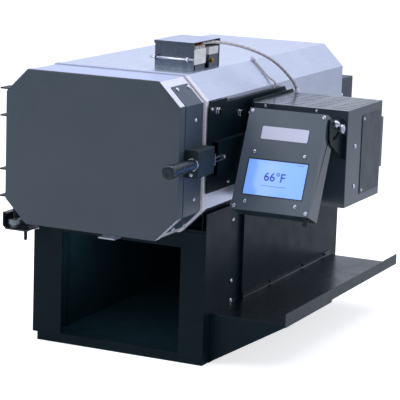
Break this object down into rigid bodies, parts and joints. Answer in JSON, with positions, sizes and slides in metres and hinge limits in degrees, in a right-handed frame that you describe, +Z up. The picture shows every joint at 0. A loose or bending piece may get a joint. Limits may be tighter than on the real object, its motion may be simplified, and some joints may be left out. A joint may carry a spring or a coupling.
{
  "type": "heat treating kiln",
  "caption": "Long octagonal heat treating kiln with a side-hinged front door, a tilting control panel and box on one side, an open stand with a side shelf and a roof terminal box.",
  "frame": {"origin": "on the floor under the middle of the stand", "axes": "+Z up, +X to the right as seen facing the door, +Y from the door to the rear"},
  "size_m": [0.5258, 0.809, 0.5142],
  "materials": {
    "black_enamel": "satin",
    "door_enamel": "satin",
    "stainless_shell": "satin",
    "grey_plate": "satin",
    "charcoal_box": "satin",
    "panel_front": "satin",
    "screen": "gloss",
    "plate_white": "satin",
    "plate_silver": "satin",
    "firebrick": "matte",
    "white_ceramic": "satin",
    "gasket": "matte",
    "element_wire": "matte",
    "bright_steel": "satin",
    "brass": "satin",
    "handle_black": "satin",
    "bumper_rubber": "matte",
    "board_green": "satin",
    "lead_fabric": "matte",
    "gland_white": "satin"
  },
  "bodies": {
    "base": {"stand_post_right": "black_enamel", "stand_post_left": "black_enamel", "stand_side_panels": "black_enamel", "stand_left_wall": "black_enamel", "stand_base_pan": "black_enamel", "stand_rear_panel": "black_enamel", "stand_top_rails": "black_enamel", "side_shelf": "black_enamel", "shelf_gusset": "black_enamel", "side_mount_plate": "black_enamel", "control_box_carrier": "black_enamel", "stand_front_brackets": "black_enamel", "hinge_knuckles": "black_enamel", "tilt_arms": "black_enamel", "body_shell": "stainless_shell", "body_front_frame": "stainless_shell", "body_rear_plate": "stainless_shell", "rear_cover": "grey_plate", "control_box_shell": "charcoal_box", "control_box_lid": "charcoal_box", "control_box_side_plate": "plate_silver", "firebrick_floor": "firebrick", "firebrick_roof": "firebrick", "firebrick_right": "firebrick", "firebrick_left": "firebrick", "firebrick_rear": "firebrick", "ceramic_insulators": "white_ceramic", "door_gasket": "gasket", "heating_elements": "element_wire", "terminal_box": "bright_steel", "terminal_box_lid": "bright_steel", "terminal_clamp_rod": "bright_steel", "base_screws": "bright_steel", "tilt_pivot_bolts": "bright_steel", "hinge_rod": "bright_steel", "catch_keeper": "bright_steel", "thermocouple": "bright_steel", "terminal_posts": "brass", "control_board": "board_green", "thermocouple_lead": "lead_fabric", "side_lead": "lead_fabric", "lead_glands": "gland_white"},
    "door": {"door_front_skin": "door_enamel", "door_wrap": "stainless_shell", "door_firebrick": "firebrick", "door_side_plate": "grey_plate", "hinge_brackets": "black_enamel", "door_screws": "bright_steel", "handle_block": "handle_black", "handle_stud": "bright_steel", "handle_grip": "handle_black", "catch_clip": "bright_steel"},
    "panel": {"panel_housing": "charcoal_box", "panel_face": "panel_front", "touch_screen": "screen", "panel_name_plate": "plate_white", "panel_screws": "bright_steel", "panel_clamp_stud": "bright_steel", "panel_bumper": "bumper_rubber"},
    "clamp_knob": {"panel_clamp_knob": "bright_steel"}
  },
  "joints": [
    {"name": "door_hinge", "type": "hinge", "parent": "base", "child": "door", "pos_m": [-0.168, -0.339, 0.345], "axis": [0, 0, -1], "range_deg": [0, 110]},
    {"name": "panel_tilt", "type": "hinge", "parent": "base", "child": "panel", "pos_m": [0.257, -0.2, 0.3985], "axis": [-1, 0, 0], "range_deg": [0, 69]},
    {"name": "clamp_knob_turn", "type": "hinge", "parent": "panel", "child": "clamp_knob", "pos_m": [0.33, -0.17933, 0.38842], "axis": [1, 0, 0], "range_deg": [0, 360]}
  ]
}
